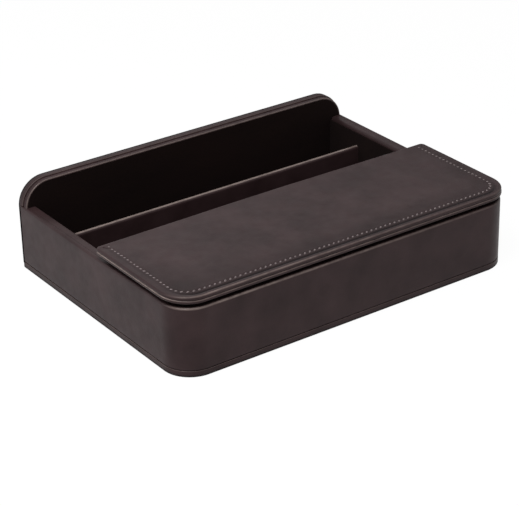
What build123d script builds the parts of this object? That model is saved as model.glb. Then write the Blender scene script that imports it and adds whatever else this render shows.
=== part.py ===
"""Leather valet box: a low tray with a tall back, a divider and a lidded front compartment.

Frame: millimetres, +Z up, origin at the middle of the underside. The long front face looks
along -Y, +X is to the right when seen from the front.
"""
import os

from build123d import *

# ---- Driving dimensions, all in millimetres ------------------------------------------------

# The whole box
body_width = 292.0           # over the leather, left to right
body_depth = 216.0           # over the leather, front to back
back_height = 71.3           # top of the back panel
rim_height = 51.6            # top of the front and side walls
corner_radius = 22.0         # front vertical corners
rear_corner_radius = 1.5     # rear vertical corners, nearly sharp
shoulder_radius = 21.0       # top corners of the back panel

# Sheet goods
leather = 1.2                # cover leather
skived_leather = 0.8         # leather thinned where it is turned under the lid and into the back
wall_board = 7.4             # boards and posts of the front and side walls
lining = 1.4                 # card with suede, on the side walls
floor_lining = 1.6           # card with suede, on the floor
turn_in = 3.0                # how far the wall wrap is folded over the rim
rim_skirt = 8.0              # how far the rim cap hangs down the inside of the wall
lining_setback = 2.6         # the side linings end this far under the rim

# Base
base_board_thickness = 3.0
base_sheet = 1.0             # felt and turned-under leather on the underside
base_turn_under = 9.0        # width of the leather on the underside

# Back panel, from the rear face forwards: a full outer layer, then a smaller inner one
back_board_thickness = 4.0
back_inner_thickness = 3.0
back_lining_thickness = 1.2
back_inner_inset = 2.2       # step between the outlines of the two layers, above the rim
back_turn_in = 12.0          # width of the leather turned in between the two layers
back_binding_round = 0.9     # front edge of the inner layer's binding

# Divider
divider_height = 39.0
divider_core = 2.0           # board between its two leather faces
rear_bay_depth = 32.6        # from the divider to the back panel

# Partition under the lid's rear edge
partition_core = 6.8
partition_suede = 0.8

# Neck that carries the lid
neck_board = 3.0

# Lid
lid_gap = 4.7                # open shadow line between the rim and the lid's underside
lid_thickness = 5.0
lid_depth = 105.0            # front to back
lid_side_overhang = 1.2
lid_corner_radius = 22.6
lid_rear_corner_radius = 4.0
lid_turn_under = 14.0        # width of the leather on the lid's underside
lid_pad_thickness = 0.6
lid_edge_round = 2.0         # the leather rolls over the top edge

# Hinges
hinge_setback = 54.0         # from the box's side to the hinge's middle
hinge_length = 28.0
hinge_leaf = 0.9             # plate thickness
hinge_leaf_width = 8.0       # from the lid's rear face towards the front
hinge_pin_radius = 0.9
hinge_bore_clearance = 0.05
hinge_knuckle_radius = 1.9
hinge_knuckle_gap = 0.2      # between knuckles along the pin
hinge_running_gap = 0.1      # between knuckle and lid, finger and partition
lid_open_angle = 100.0       # where the stop fingers meet the partition
stop_finger_length = 5.0
stop_finger_thickness = 1.0

# Screws and brads
screw_head_radius = 1.8
screw_head_depth = 0.7
screw_shank_radius = 0.9
screw_spacing = 18.0         # between the two screws of a leaf
screw_slot_width = 0.4
screw_slot_depth = 0.3
body_screw_length = 8.0
lid_screw_length = 2.6
brad_radius = 0.6
back_brad_length = 24.0
base_brad_length = 16.0
brad_end_margin = 9.0        # outermost brad to the end of its board
fit_gap = 0.05               # round a screw or brad in its hole

# ---- Heights and faces worked out from them ------------------------------------------------

half_width = body_width / 2
half_depth = body_depth / 2
base_top = base_sheet + base_board_thickness
floor_top = base_top + floor_lining
board_top = rim_height - leather
wall_outer = leather                                  # insets from the outer faces
wall_inner = leather + wall_board
skirt_inner = wall_inner + leather
inner_x = half_width - skirt_inner                    # inside face of the side walls
lined_x = inner_x - lining
front_inner_y = -half_depth + skirt_inner             # inside face of the front wall

back_cover_y = half_depth - leather
back_board_y = back_cover_y - back_board_thickness
back_joint_y = back_board_y - skived_leather
back_lining_y = back_joint_y - back_inner_thickness
back_face_y = back_lining_y - back_lining_thickness

divider_rear_y = back_face_y - rear_bay_depth
divider_front_y = divider_rear_y - divider_core - 2 * leather

lid_rear_y = -half_depth + lid_depth
partition_rear_y = lid_rear_y                         # the lid ends over the partition's rear face
partition_front_y = partition_rear_y - partition_core - 2 * partition_suede

lid_bottom = rim_height + lid_gap
lid_top = lid_bottom + lid_thickness
lid_board_bottom = lid_bottom + skived_leather
lid_pad_top = lid_top - leather
lid_board_top = lid_pad_top - lid_pad_thickness
partition_board_top = lid_bottom - leather

hinge_x = half_width - hinge_setback
pin_y = lid_rear_y + hinge_knuckle_radius + hinge_running_gap
pin_z = lid_bottom
leaf_screw_y = lid_rear_y - hinge_leaf_width / 2


# ---- Helpers -------------------------------------------------------------------------------

def block(x0, x1, y0, y1, z0, z1):
    """A straight block between two corners."""
    size = Box(x1 - x0, y1 - y0, z1 - z0)
    return Pos((x0 + x1) / 2, (y0 + y1) / 2, (z0 + z1) / 2) * size


def slab(face, z0, z1):
    """A face drawn in plan, raised from z0 to z1."""
    return Pos(0, 0, z0) * extrude(face, z1 - z0)


def rounded_plan(x, y_front, y_rear, front_radius, rear_radius):
    """A rectangle in plan with its front and rear corners rounded differently."""
    face = make_face(Polyline((-x, y_front), (x, y_front), (x, y_rear), (-x, y_rear), close=True))
    if front_radius > 0:
        face = fillet(face.vertices().sort_by(Axis.Y)[:2], front_radius)
    if rear_radius > 0:
        face = fillet(face.vertices().sort_by(Axis.Y)[-2:], rear_radius)
    return face


def body_plan(inset):
    """The box's outline in plan, drawn in by inset."""
    x = half_width - inset
    y = half_depth - inset
    return rounded_plan(x, -y, y, corner_radius - inset, rear_corner_radius - inset)


def lid_plan(inset):
    """The lid's outline in plan, drawn in by inset."""
    x = half_width + lid_side_overhang - inset
    y_front = -half_depth + inset
    y_rear = lid_rear_y - inset
    rear_radius = lid_rear_corner_radius - inset
    return rounded_plan(x, y_front, y_rear, lid_corner_radius - inset, rear_radius)


def back_slab(inset, y0, y1):
    """The back panel's shape with its round shoulders, between two depths."""
    x = half_width - inset
    top = back_height - inset
    corners = Polyline((-x, base_top), (x, base_top), (x, top), (-x, top), close=True)
    face = make_face(corners)
    face = fillet(face.vertices().sort_by(Axis.Y)[-2:], shoulder_radius - inset)
    upright = extrude(Plane.XZ * face, -(y1 - y0))
    return Pos(0, y0, 0) * upright


def rod(x, y, z0, z1, radius):
    """An upright rod."""
    return Pos(x, y, (z0 + z1) / 2) * Cylinder(radius, z1 - z0)


def rod_along_y(x, z, y0, y1, radius):
    """A rod that runs from front to back."""
    return Pos(x, (y0 + y1) / 2, z) * Rot(90, 0, 0) * Cylinder(radius, y1 - y0)


def rod_along_x(y, z, x0, x1, radius):
    """A rod that runs from left to right."""
    return Pos((x0 + x1) / 2, y, z) * Rot(0, 90, 0) * Cylinder(radius, x1 - x0)


parts = {}


def keep(name, shape):
    """Stores a finished piece under its node's name."""
    parts[name] = shape


# ---- Brads ---------------------------------------------------------------------------------

wall_middle_x = half_width - leather - wall_board / 2
wall_middle_front_y = -half_depth + leather + wall_board / 2
tangent_x = half_width - corner_radius                # where the front corners begin
tangent_y = -half_depth + corner_radius

back_brad_heights = [
    base_top + brad_end_margin,
    (base_top + board_top) / 2,
    board_top - brad_end_margin,
]
side_brad_rear_y = back_cover_y - back_brad_length - brad_end_margin   # clear of the back brads
side_brad_front_y = tangent_y + brad_end_margin
side_brad_ys = [side_brad_front_y, (side_brad_front_y + side_brad_rear_y) / 2, side_brad_rear_y]
front_brad_xs = [-tangent_x + brad_end_margin, 0.0, tangent_x - brad_end_margin]


def back_brads(radius):
    """Brads through both back boards into the ends of the side boards."""
    rods = []
    for side in (-1, 1):
        for z in back_brad_heights:
            front_end = back_cover_y - back_brad_length
            rods.append(rod_along_y(side * wall_middle_x, z, front_end, back_cover_y, radius))
    return rods


def base_brads(radius):
    """Brads up through the base board into the wall boards."""
    top = base_sheet + base_brad_length
    rods = []
    for side in (-1, 1):
        for y in side_brad_ys:
            rods.append(rod(side * wall_middle_x, y, base_sheet, top, radius))
    for x in front_brad_xs:
        rods.append(rod(x, wall_middle_front_y, base_sheet, top, radius))
    return rods


back_brad_holes = Compound(back_brads(brad_radius + fit_gap))
base_brad_holes = Compound(base_brads(brad_radius + fit_gap))
keep("back_brads", Compound(back_brads(brad_radius)))
keep("base_brads", Compound(base_brads(brad_radius)))


# ---- Base ----------------------------------------------------------------------------------

def make_base():
    """Base board, the leather folded round its edge, and the felt on the underside."""
    board = slab(body_plan(leather), base_sheet, base_top) - base_brad_holes
    keep("base_board", board)
    edge = slab(body_plan(0), base_sheet, base_top) - slab(body_plan(leather), base_sheet, base_top)
    turned = slab(body_plan(0), 0, base_sheet) - slab(body_plan(base_turn_under), 0, base_sheet)
    keep("base_wrap", edge + turned)
    keep("base_felt", slab(body_plan(base_turn_under), 0, base_sheet))


# ---- Walls ---------------------------------------------------------------------------------

def make_wall_boards():
    """Straight boards at the sides and front, joined by quarter-round posts."""
    outer_x = half_width - wall_outer
    face_x = half_width - wall_inner
    outer_y = -half_depth + wall_outer
    face_y = -half_depth + wall_inner
    side = block(face_x, outer_x, tangent_y, back_face_y, base_top, board_top)
    front = block(-tangent_x, tangent_x, outer_y, face_y, base_top, board_top)
    shell = slab(body_plan(wall_outer), base_top, board_top)
    hollow = block(-face_x, face_x, face_y, half_depth, base_top, board_top)
    post_space = block(tangent_x, outer_x, outer_y, tangent_y, base_top, board_top)
    post = (shell - hollow) & post_space
    holes = [back_brad_holes, base_brad_holes]
    keep("right_wall_board", side - holes)
    keep("left_wall_board", mirror(side, Plane.YZ) - holes)
    keep("front_wall_board", front - base_brad_holes)
    keep("corner_post_right", post)
    keep("corner_post_left", mirror(post, Plane.YZ))


def make_wall_wrap():
    """Leather round the left, front and right faces, folded over the rim."""
    inner_half = half_width - leather
    sheet = slab(body_plan(0), base_top, rim_height) - slab(body_plan(leather), base_top, rim_height)
    fold = slab(body_plan(0), board_top, rim_height) - slab(body_plan(turn_in), board_top, rim_height)
    rear_cover = block(-half_width, half_width, back_cover_y, half_depth, 0, rim_height)
    outer_layer = block(-inner_half, inner_half, back_joint_y, half_depth, 0, rim_height)
    inner_layer = back_slab(back_inner_inset, back_face_y, back_joint_y)
    inner_foot = block(-inner_half, inner_half, back_face_y, back_joint_y, 0, board_top)
    keep("wall_wrap", (sheet + fold) - rear_cover - outer_layer - inner_layer - inner_foot)


def make_rim_cap():
    """Leather on the top of the walls, with a skirt down their inside."""
    face_x = half_width - wall_inner
    face_y = -half_depth + wall_inner
    opening = block(-inner_x, inner_x, front_inner_y, half_depth, 0, back_height)
    top = slab(body_plan(turn_in), board_top, rim_height)
    skirt = block(-face_x, face_x, face_y, half_depth, board_top - rim_skirt, board_top)
    rear = block(-half_width, half_width, back_face_y, half_depth, 0, back_height)
    keep("rim_cap", (top + skirt) - opening - rear)


def make_side_linings():
    """Suede-covered card inside the rear bays, thicker below the rim cap's skirt."""
    skirt_bottom = board_top - rim_skirt
    face_x = half_width - wall_inner
    y0 = partition_rear_y
    card = block(lined_x, inner_x, y0, back_face_y, base_top, rim_height - lining_setback)
    backing = block(inner_x, face_x, y0, back_face_y, base_top, skirt_bottom)
    keep("right_lining", card + backing)
    keep("left_lining", mirror(card + backing, Plane.YZ))


# ---- Back panel ----------------------------------------------------------------------------

def inner_back_slab(y0, y1):
    """The inner layer's board shape: inset above the rim, full width between the walls' wrap."""
    inner_half = half_width - leather
    foot = block(-inner_half, inner_half, y0, y1, base_top, board_top)
    return back_slab(back_inner_inset + leather, y0, y1) + foot


def make_outer_back():
    """The outer board and its leather, turned in at the front round a card that fills level."""
    above_rim = block(-half_width, half_width, back_joint_y, half_depth, rim_height, back_height)
    keep("back_board", back_slab(leather, back_board_y, back_cover_y) - back_brad_holes)
    rear_face = back_slab(0, back_cover_y, half_depth) & slab(body_plan(0), base_top, back_height)
    edge = back_slab(0, back_board_y, back_cover_y) - back_slab(leather, back_board_y, back_cover_y)
    turned = back_slab(0, back_joint_y, back_board_y) - back_slab(back_turn_in, back_joint_y, back_board_y)
    keep("back_cover", rear_face + ((edge + turned) & above_rim))
    card = back_slab(leather, back_joint_y, back_board_y) - (turned & above_rim)
    keep("back_infill_card", card - back_brad_holes)


def make_inner_back():
    """The inner board with a leather binding round its edge above the rim and suede in front."""
    keep("back_inner_board", inner_back_slab(back_lining_y, back_joint_y) - back_brad_holes)
    keep("back_lining", inner_back_slab(back_face_y, back_lining_y) - back_brad_holes)
    outside = back_slab(back_inner_inset, back_face_y, back_joint_y)
    outside = fillet(outside.faces().sort_by(Axis.Y)[0].edges(), back_binding_round)
    core = back_slab(back_inner_inset + leather, back_face_y, back_joint_y)
    above_boards = block(-half_width, half_width, back_face_y, back_joint_y, board_top, back_height)
    keep("back_edge_binding", (outside - core) & above_boards)


# ---- Divider, partition, neck and floor ----------------------------------------------------

def make_divider():
    """A thin board with one piece of leather folded over its top."""
    front = divider_front_y + leather
    rear = divider_rear_y - leather
    core_top = divider_height - leather
    keep("divider_board", block(-lined_x, lined_x, front, rear, base_top, core_top))
    outside = block(-lined_x, lined_x, divider_front_y, divider_rear_y, base_top, divider_height)
    top_edges = outside.edges().filter_by(Axis.X).group_by(Axis.Z)[-1]
    outside = fillet(top_edges, leather)
    keep("divider_cover", outside - block(-lined_x, lined_x, front, rear, base_top, core_top))


def make_partition(screw_holes, leaf_notches):
    """The wall under the lid's rear edge, with suede faces and a leather cap."""
    core_front = partition_front_y + partition_suede
    core_rear = partition_rear_y - partition_suede
    x = inner_x
    board = block(-x, x, core_front, core_rear, base_top, partition_board_top)
    keep("partition_board", board - screw_holes)
    front = block(-x, x, partition_front_y, core_front, base_top, partition_board_top)
    keep("partition_front_lining", front)
    rear = block(-x, x, core_rear, partition_rear_y, base_top, partition_board_top)
    keep("partition_rear_lining", rear)
    cap = block(-x, x, partition_front_y, partition_rear_y, partition_board_top, lid_bottom)
    keep("partition_cap", cap - leaf_notches)


def make_neck():
    """Leather-covered boards inside the front compartment that stand above the rim."""
    skirt_bottom = board_top - rim_skirt
    face_x = half_width - wall_inner
    face_y = -half_depth + wall_inner
    neck_x = inner_x - neck_board
    neck_y = front_inner_y + neck_board
    front = block(-inner_x, inner_x, front_inner_y, neck_y, base_top, lid_bottom)
    front = front + block(-face_x, face_x, face_y, front_inner_y, base_top, skirt_bottom)
    keep("front_neck", front)
    side = block(neck_x, inner_x, neck_y, partition_front_y, base_top, lid_bottom)
    backing = block(inner_x, face_x, front_inner_y, partition_front_y, base_top, skirt_bottom)
    keep("right_neck", side + backing)
    keep("left_neck", mirror(side + backing, Plane.YZ))


def make_floors():
    """Suede-covered card on the floor of each compartment."""
    neck_x = inner_x - neck_board
    neck_y = front_inner_y + neck_board
    front = block(-neck_x, neck_x, neck_y, partition_front_y, base_top, floor_top)
    keep("front_floor_lining", front)
    middle = block(-lined_x, lined_x, partition_rear_y, divider_front_y, base_top, floor_top)
    keep("middle_floor_lining", middle)
    rear = block(-lined_x, lined_x, divider_rear_y, back_face_y, base_top, floor_top)
    keep("rear_floor_lining", rear)


# ---- Lid -----------------------------------------------------------------------------------

def make_lid(screw_holes, leaf_notches):
    """Board and thin foam in a leather cover that is turned under, with suede below."""
    board = slab(lid_plan(leather), lid_board_bottom, lid_board_top)
    keep("lid_board", board - screw_holes)
    keep("lid_pad", slab(lid_plan(leather), lid_board_top, lid_pad_top))
    outside = slab(lid_plan(0), lid_bottom, lid_top)
    outside = fillet(outside.faces().sort_by(Axis.Z)[-1].edges(), lid_edge_round)
    filling = slab(lid_plan(leather), lid_board_bottom, lid_pad_top)
    window = slab(lid_plan(lid_turn_under), lid_bottom, lid_board_bottom)
    keep("lid_cover", outside - filling - window - leaf_notches)
    keep("lid_lining", window)


# ---- Hinges --------------------------------------------------------------------------------

def countersunk_screw(length, radius_gap):
    """A screw that points down, with the top of its head at z = 0."""
    head_radius = screw_head_radius + radius_gap
    shank_radius = screw_shank_radius + radius_gap
    cone = Cone(shank_radius, head_radius, screw_head_depth)
    head = Pos(0, 0, -screw_head_depth / 2) * cone
    shank = Pos(0, 0, -length / 2) * Cylinder(shank_radius, length)
    return head + shank


def slotted_screw(length):
    """The screw with a slot across its head."""
    slot = Pos(0, 0, -screw_slot_depth / 2) * Box(2 * screw_head_radius, screw_slot_width, screw_slot_depth)
    return countersunk_screw(length, 0) - slot


def leaf_screws(screw, x_middle, z, turned_up):
    """The two screws of one leaf, heads on the leaf's open face."""
    turn = Rot(180, 0, 0) if turned_up else Rot(0, 0, 0)
    places = (x_middle - screw_spacing / 2, x_middle + screw_spacing / 2)
    return [Pos(x, leaf_screw_y, z) * turn * screw for x in places]


def make_hinges():
    """Two butt hinges; returns what the board and lid need cut away for them."""
    body_leaf_top = partition_board_top + hinge_leaf
    lid_leaf_bottom = lid_board_bottom - hinge_leaf
    bore = hinge_pin_radius + hinge_bore_clearance
    knuckle = (hinge_length - 2 * hinge_knuckle_gap) / 3
    leaf_front = lid_rear_y - hinge_leaf_width
    clear_y = pin_y - hinge_knuckle_radius - hinge_running_gap
    body_screws = []
    lid_screws = []
    body_holes = []
    lid_holes = []
    cap_notches = []
    lid_notches = []
    for name, x_middle in (("left", -hinge_x), ("right", hinge_x)):
        x0 = x_middle - hinge_length / 2
        x1 = x_middle + hinge_length / 2
        middle0 = x0 + knuckle + hinge_knuckle_gap
        middle1 = x1 - knuckle - hinge_knuckle_gap
        bore_rod = rod_along_x(pin_y, pin_z, x0 - 1, x1 + 1, bore)

        leaf = block(x0, x1, leaf_front, clear_y, partition_board_top, body_leaf_top)
        for a, b in ((x0, x0 + knuckle), (x1 - knuckle, x1)):
            leaf = leaf + block(a, b, clear_y, pin_y, partition_board_top, body_leaf_top)
            leaf = leaf + rod_along_x(pin_y, pin_z, a, b, hinge_knuckle_radius)
        holes = leaf_screws(countersunk_screw(body_screw_length, fit_gap), x_middle, body_leaf_top, False)
        keep("hinge_body_leaf_" + name, leaf - bore_rod - holes)
        body_holes.extend(holes)
        body_screws.extend(leaf_screws(slotted_screw(body_screw_length), x_middle, body_leaf_top, False))

        plate = block(x0, x1, leaf_front, clear_y, lid_leaf_bottom, lid_board_bottom)
        plate = plate + block(middle0, middle1, clear_y, pin_y, lid_leaf_bottom, lid_board_bottom)
        plate = plate + rod_along_x(pin_y, pin_z, middle0, middle1, hinge_knuckle_radius)
        finger_front = pin_y - hinge_knuckle_radius
        finger = block(middle0, middle1, finger_front, finger_front + stop_finger_thickness,
                       pin_z - stop_finger_length, pin_z)
        about_pin = Pos(0, pin_y, pin_z) * Rot(lid_open_angle, 0, 0) * Pos(0, -pin_y, -pin_z)
        plate = plate + about_pin * finger
        holes = leaf_screws(countersunk_screw(lid_screw_length, fit_gap), x_middle, lid_leaf_bottom, True)
        keep("hinge_lid_leaf_" + name, plate - bore_rod - holes)
        lid_holes.extend(holes)
        lid_screws.extend(leaf_screws(slotted_screw(lid_screw_length), x_middle, lid_leaf_bottom, True))

        keep("hinge_pin_" + name, rod_along_x(pin_y, pin_z, x0, x1, hinge_pin_radius))
        cap_notches.append(block(x0, x1, leaf_front, lid_rear_y, partition_board_top, lid_bottom))
        lid_notches.append(block(x0, x1, leaf_front, lid_rear_y, lid_bottom, lid_board_bottom))
    keep("body_hinge_screws", Compound(body_screws))
    keep("lid_hinge_screws", Compound(lid_screws))
    return body_holes, cap_notches, lid_holes, lid_notches


make_base()
make_wall_boards()
make_wall_wrap()
make_rim_cap()
make_side_linings()
make_outer_back()
make_inner_back()
make_divider()
partition_holes, partition_notches, lid_board_holes, lid_cover_notches = make_hinges()
make_partition(partition_holes, partition_notches)
make_neck()
make_floors()
make_lid(lid_board_holes, lid_cover_notches)

os.makedirs("parts", exist_ok=True)
for node, shape in parts.items():
    export_step(shape, f"parts/{node}.step")
print(len(parts), "nodes written")
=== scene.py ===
# %% [markdown]
# A leather valet box in Blender
#
# The object is a low desk tray: boards wrapped in very dark brown leather, a tall back with
# round shoulders, a divider, and a padded lid over the front compartment. The boards, hinges,
# pins and screws come from the solid model, which is the fixed frame here. Every skin that shows
# is modelled again, because the solid model has plain skins of even thickness, and a real leather
# box is read by its rolled edges, its seams and its stitching.

import math
from collections import Counter, namedtuple

import bpy
import bmesh
from mathutils import Matrix, Vector, noise


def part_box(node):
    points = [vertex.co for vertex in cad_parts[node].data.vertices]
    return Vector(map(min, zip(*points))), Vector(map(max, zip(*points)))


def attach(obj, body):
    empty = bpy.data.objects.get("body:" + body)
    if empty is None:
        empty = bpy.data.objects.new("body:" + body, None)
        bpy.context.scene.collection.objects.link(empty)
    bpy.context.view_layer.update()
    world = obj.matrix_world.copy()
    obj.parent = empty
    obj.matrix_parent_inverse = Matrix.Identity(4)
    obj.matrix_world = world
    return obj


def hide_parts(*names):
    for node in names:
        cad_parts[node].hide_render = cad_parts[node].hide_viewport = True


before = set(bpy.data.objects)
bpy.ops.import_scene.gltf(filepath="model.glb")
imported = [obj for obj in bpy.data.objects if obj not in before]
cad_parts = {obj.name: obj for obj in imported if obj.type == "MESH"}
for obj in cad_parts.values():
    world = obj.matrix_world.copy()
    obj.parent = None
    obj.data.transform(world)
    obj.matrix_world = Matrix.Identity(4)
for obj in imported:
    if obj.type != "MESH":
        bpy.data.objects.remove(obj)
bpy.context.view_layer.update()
print("nodes in the frame:", len(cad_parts))

# %% [markdown]
# Millimetres are the unit in this file, because leather, board and thread are sold by the
# millimetre. A mesh is turned to metres only when it is written. The sizes of the frame's pieces
# are read from the frame, so a change there moves the skins too.

# %% Read sizes from the frame
MILLIMETRES = 1000.0
Extent = namedtuple("Extent", "x0 x1 y0 y1 z0 z1")


def extent(node):
    """A node's box at rest, in millimetres."""
    low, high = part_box(node)
    return Extent(*(MILLIMETRES * value for pair in zip(low, high) for value in pair))


wrap = extent("wall_wrap")
base = extent("base_board")
cap = extent("rim_cap")
back = extent("back_cover")
half_width = wrap.x1
front_y = wrap.y0
rear_y = back.y1
rim_top = wrap.z1
leather = half_width - base.x1
print(f"box {2 * half_width:.1f} x {rear_y - front_y:.1f} x {back.z1:.1f} mm, leather {leather:.1f} mm")

# %% [markdown]
# The camera stands where the photograph was taken from. Its place was worked out from the box's
# own edges, whose real lengths are known: about 1.4 m away, to the left of the front, looking down
# at 27 degrees. The long lens keeps the sides nearly parallel. The two tiny shifts are half a
# pixel each, because the photograph's frame is 519 pixels wide and an odd number has no middle line.

# %% Place the camera
IMAGE_WIDTH = 519
FOCAL_IN_PIXELS = 1898.993
SENSOR_MM = 36.0
camera_place = Vector((-724.39, -1031.98, 647.89)) / MILLIMETRES
yaw = math.radians(-34.867)
pitch = math.radians(26.857)
roll = math.radians(-1.257)


def put(name, data):
    """A new object in the scene for a mesh, lamp, camera or curve."""
    made = bpy.data.objects.new(name, data)
    bpy.context.scene.collection.objects.link(made)
    return made


look = Vector((-math.sin(yaw) * math.cos(pitch), math.cos(yaw) * math.cos(pitch), -math.sin(pitch)))
level = Vector((math.cos(yaw), math.sin(yaw), 0.0))
upright = level.cross(look)
right = math.cos(roll) * level + math.sin(roll) * upright
up = math.cos(roll) * upright - math.sin(roll) * level

lens = bpy.data.cameras.new("camera")
lens.sensor_width = SENSOR_MM
lens.lens = FOCAL_IN_PIXELS * SENSOR_MM / IMAGE_WIDTH
lens.shift_x = -0.5 / IMAGE_WIDTH
lens.shift_y = 0.5 / IMAGE_WIDTH
lens.clip_end = 20.0
camera = put("camera", lens)
camera.matrix_world = Matrix.Translation(camera_place) @ Matrix((right, up, -look)).transposed().to_4x4()
bpy.context.scene.camera = camera
bpy.context.scene.view_settings.view_transform = "Standard"
print(f"lens {lens.lens:.1f} mm")

# %% [markdown]
# A material is a small graph of nodes. One helper adds a node, sets its properties and fills or
# links its inputs, so that a finish reads like a recipe. Colours are written as the sRGB hex values
# that a picture editor shows, and one function turns them to the linear values that light obeys.

# %% Helpers for materials
def linear(hex_colour):
    """An sRGB colour such as #302421 as linear red, green, blue and alpha."""
    values = [int(hex_colour[i:i + 2], 16) / 255 for i in (1, 3, 5)]
    return [v / 12.92 if v <= 0.04045 else ((v + 0.055) / 1.055) ** 2.4 for v in values] + [1.0]


def per_metre(millimetres):
    """The texture scale whose pattern repeats about every so many millimetres."""
    return MILLIMETRES / millimetres


def add(tree, kind, inputs=None, **settings):
    """Adds one node; inputs holds socket values, or the output sockets that feed them."""
    made = tree.nodes.new(kind)
    for key, value in settings.items():
        setattr(made, key, value)
    for key, value in (inputs or {}).items():
        if isinstance(value, bpy.types.NodeSocket):
            tree.links.new(value, made.inputs[key])
        else:
            made.inputs[key].default_value = value
    return made


def start_material(name):
    """A named material with an empty graph, and the place that its patterns read."""
    material = bpy.data.materials.new(name)
    material.use_nodes = True
    tree = material.node_tree
    tree.nodes.clear()
    return material, tree, add(tree, "ShaderNodeTexCoord").outputs["Object"]


def finish_material(material, shader):
    """Sends a shader to the material's output."""
    add(material.node_tree, "ShaderNodeOutputMaterial", {"Surface": shader.outputs[0]})
    return material


print("white as a linear colour:", linear("#ffffff")[:3])

# %% [markdown]
# The box stands on white paper under one large overhead softbox, which draws the thin bright lines
# on every rolled edge. A weaker softbox to the left lights that face, and a black card beyond the
# right end takes the shine off that end of the lid. The paper and the world are pure white to
# the camera and to reflections, so the background is white without flooding the dark leather with
# light. To everything else the world is a soft grey, and the paper is an ordinary matt white that
# keeps the shadow of the box.

# %% Floor, world and lights
FLOOR_HALF = 4.0
FLOOR_DROP = 0.0002
WORLD_AMBIENT = 0.37
PAPER_GLOW = 0.94
PAPER_WHITE = 1.02


def seen(tree):
    """One for the camera, for reflections and through glass, and nothing for all other light."""
    path = add(tree, "ShaderNodeLightPath").outputs
    looked_at = add(tree, "ShaderNodeMath", {0: path["Is Camera Ray"], 1: path["Is Glossy Ray"]},
                    operation="MAXIMUM")
    return add(tree, "ShaderNodeMath", {0: looked_at.outputs[0], 1: path["Is Transmission Ray"]},
               operation="MAXIMUM").outputs[0]


def make_paper():
    """Matt white paper that the camera sees almost at full white."""
    material, tree, _ = start_material("matt_white_paper")
    share = add(tree, "ShaderNodeMath", {0: seen(tree), 1: PAPER_GLOW}, operation="MULTIPLY")
    matt = add(tree, "ShaderNodeBsdfDiffuse", {"Color": linear("#f2f2f2")})
    glow = add(tree, "ShaderNodeEmission", {"Color": linear("#ffffff"), "Strength": PAPER_WHITE})
    return finish_material(material, add(tree, "ShaderNodeMixShader", {
        0: share.outputs[0], 1: matt.outputs[0], 2: glow.outputs[0]}))


def make_black_card():
    """Matt black card."""
    material, tree, _ = start_material("black_card")
    return finish_material(material, add(tree, "ShaderNodeBsdfDiffuse", {"Color": linear("#0a0a0a")}))


def make_world():
    """White to the camera and to reflections, soft grey to everything else."""
    world = bpy.data.worlds.new("studio")
    world.use_nodes = True
    tree = world.node_tree
    tree.nodes.clear()
    dim = add(tree, "ShaderNodeBackground", {"Color": linear("#ffffff"), "Strength": WORLD_AMBIENT})
    bright = add(tree, "ShaderNodeBackground", {"Color": linear("#ffffff"), "Strength": 1.0})
    mixed = add(tree, "ShaderNodeMixShader", {0: seen(tree), 1: dim.outputs[0], 2: bright.outputs[0]})
    add(tree, "ShaderNodeOutputWorld", {"Surface": mixed.outputs[0]})
    bpy.context.scene.world = world


def studio_sheet(name, corners, material):
    """A flat sheet with one material, not attached to any of the box's bodies."""
    mesh = bpy.data.meshes.new(name)
    mesh.from_pydata(corners, [], [(0, 1, 2, 3)])
    mesh.materials.append(material)
    sheet = put(name, mesh)
    return sheet


def softbox(name, place, aim, width, height, radiance):
    """A rectangular lamp; its power follows from its size and how bright its face looks."""
    lamp = bpy.data.lights.new(name, "AREA")
    lamp.shape = "RECTANGLE"
    lamp.size = width
    lamp.size_y = height
    lamp.energy = radiance * math.pi * width * height
    holder = put(name, lamp)
    holder.location = place
    holder.rotation_euler = (Vector(aim) - Vector(place)).to_track_quat("-Z", "Y").to_euler()


studio_sheet("paper_floor", [(x * FLOOR_HALF, y * FLOOR_HALF, -FLOOR_DROP)
                             for x, y in ((-1, -1), (1, -1), (1, 1), (-1, 1))], make_paper())
make_world()
softbox("overhead_softbox", (-0.50, -0.30, 1.10), (0.0, 0.0, 0.0), 0.65, 0.60, 9.0)
softbox("left_softbox", (-1.3, 0.5, 0.75), (0.0, 0.0, 0.03), 0.9, 0.9, 1.8)
flag_corners = [(0.62, 1.0, 0.02), (1.25, 0.25, 0.02), (1.25, 0.25, 0.4), (0.62, 1.0, 0.4)]
flag = studio_sheet("right_flag", flag_corners, make_black_card())
flag.visible_camera = False
flag.visible_shadow = False
print("lamps:", [o.name for o in bpy.data.objects if o.type == "LIGHT"])

# %% [markdown]
# The cover is smooth full-grain calf, drum-dyed very dark brown and lightly waxed. Three things
# make it read as leather: the dye is a little uneven over a few centimetres, the grain is a net of
# tiny cells, and the wax makes the sheen patchy. Where the leather is pulled round an edge the
# grain stretches, so it is paler and glossier there, and that paler colour also serves as a painted
# highlight on the rolled edges. Grooves, seams and shaded edges are painted darker, as painted
# shade, and the roll that stands on the table as painted shadow. Each mesh carries a value for that
# on its vertices, above 0 for the paler edge with its painted highlight and below 0 for the painted
# shade, because the material cannot know where an edge is. The grain is about 0.5 mm on real calf,
# and is drawn at 1.1 mm, the finest that the render can show.

# %% The cover leather
GRAIN_MM = 1.1
CREASE_MM = 7.0
DYE_MM = 26.0
# The dark colour painted in as shade in grooves, seams and on shaded edges, and on the lid's darker border.
DARKENED_COLOUR = "#090506"
DULL_WAX, THICK_WAX = 0.12, 0.10
WORN_POLISH = -0.18
CREASE_HIGH = 0.6


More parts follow.
